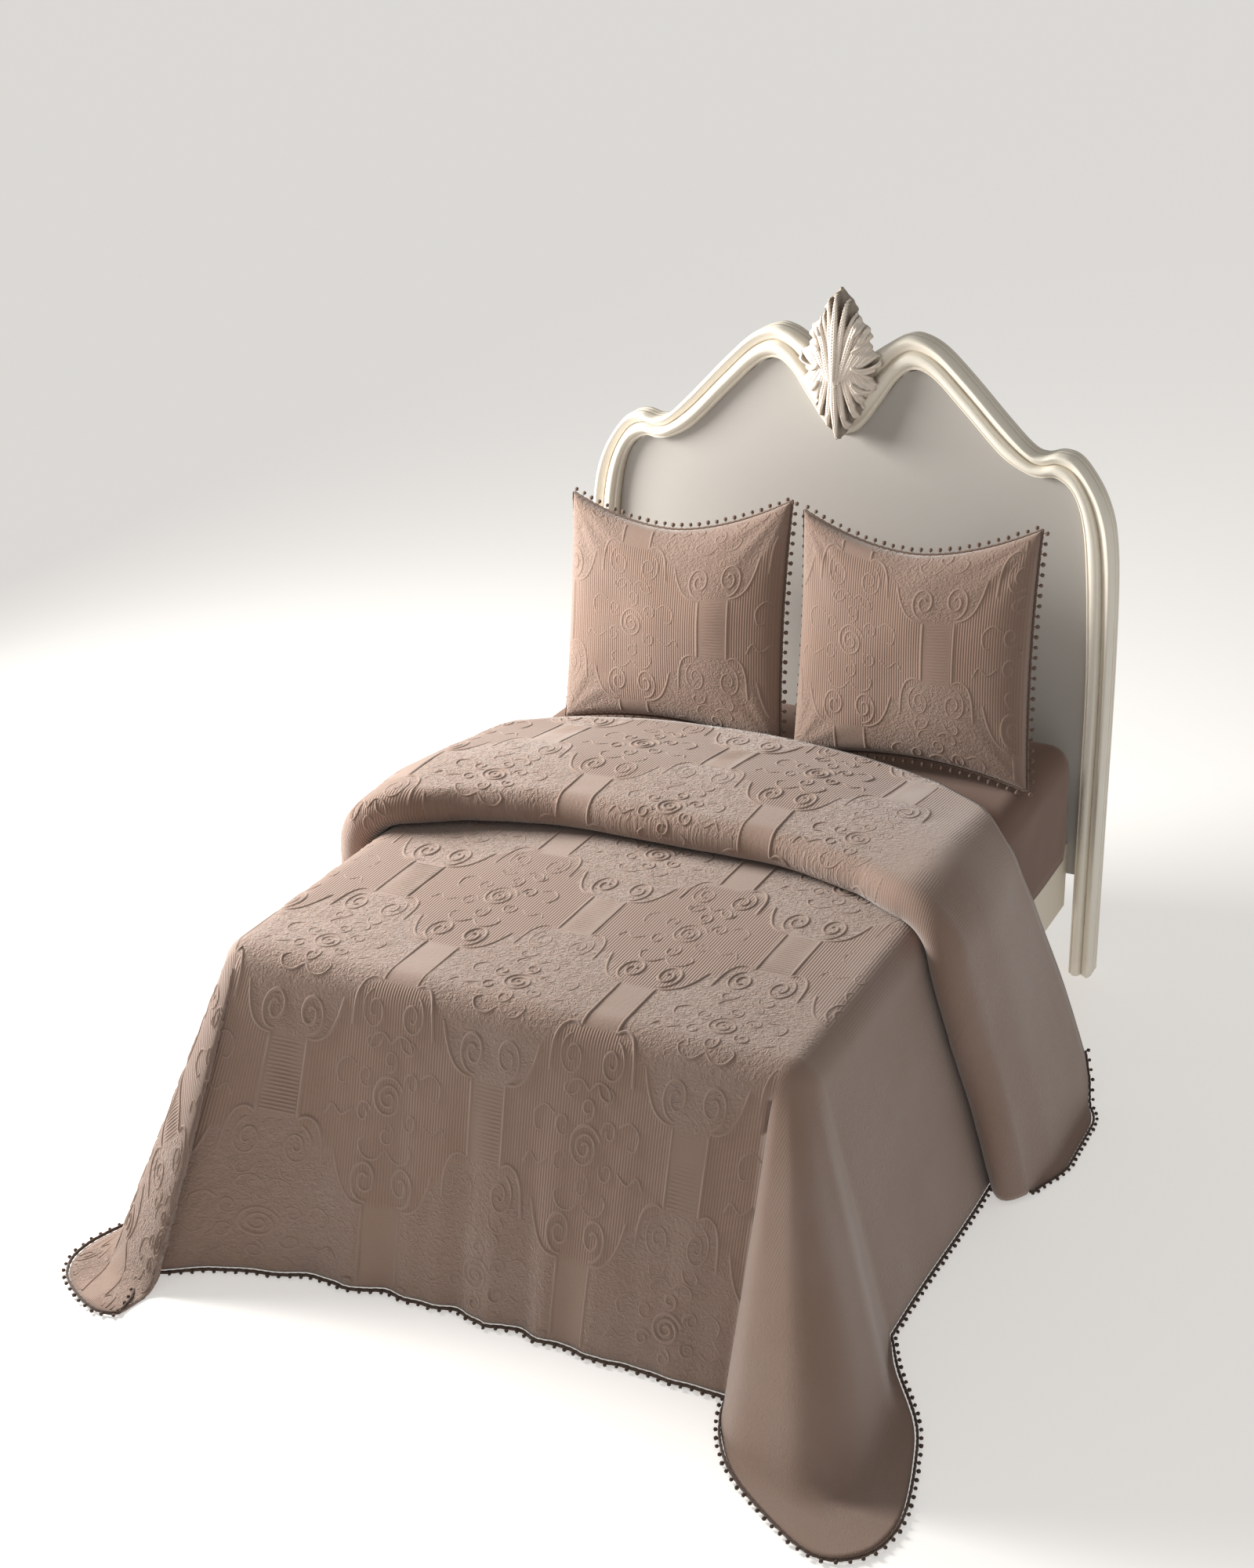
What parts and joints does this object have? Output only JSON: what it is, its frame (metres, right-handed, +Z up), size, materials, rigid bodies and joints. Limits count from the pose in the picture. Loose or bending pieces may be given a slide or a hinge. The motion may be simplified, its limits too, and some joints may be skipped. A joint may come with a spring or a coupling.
{
  "type": "quilted bedspread set on a bed with a carved headboard",
  "caption": "Quilted bedspread with a turned-back band and pompom hem draped over a bed, with matching pillow shams and a curved, carved headboard.",
  "frame": {"origin": "middle of the whole outline, at the floor", "axes": "+Y from the foot of the bed to its headboard, +X to the right seen from the foot, +Z up"},
  "size_m": [2.1316, 2.6084, 1.912],
  "materials": {
    "bedspread": "quilted matelasse cotton, matt",
    "hem_trim": "braid with small pompoms, matt",
    "band_trim_left": "braid with small pompoms, matt",
    "band_trim_right": "braid with small pompoms, matt",
    "sham_left": "quilted matelasse cotton, matt",
    "sham_left_trim": "braid with small pompoms, matt",
    "sham_right": "quilted matelasse cotton, matt",
    "sham_right_trim": "braid with small pompoms, matt",
    "mattress": "smooth cotton sheet over the mattress, matt",
    "slat_deck": "plain wood, matt",
    "side_rail_left": "cream paint, satin",
    "side_rail_right": "cream paint, satin",
    "foot_rail": "cream paint, satin",
    "foot_leg_left": "cream paint, satin",
    "foot_leg_right": "cream paint, satin",
    "centre_leg": "cream paint, satin",
    "headboard_frame": "ivory paint, satin, moulded",
    "headboard_panel": "grey beige paint, matt",
    "headboard_crest": "carved, ivory paint rubbed back to brown in its hollows"
  },
  "bodies": {
    "root": {"bedspread": "bedspread", "hem_trim": "hem_trim", "band_trim_left": "band_trim_left", "band_trim_right": "band_trim_right", "sham_left": "sham_left", "sham_left_trim": "sham_left_trim", "sham_right": "sham_right", "sham_right_trim": "sham_right_trim", "mattress": "mattress", "slat_deck": "slat_deck", "side_rail_left": "side_rail_left", "side_rail_right": "side_rail_right", "foot_rail": "foot_rail", "foot_leg_left": "foot_leg_left", "foot_leg_right": "foot_leg_right", "centre_leg": "centre_leg", "headboard_frame": "headboard_frame", "headboard_panel": "headboard_panel", "headboard_crest": "headboard_crest"}
  },
  "joints": []
}
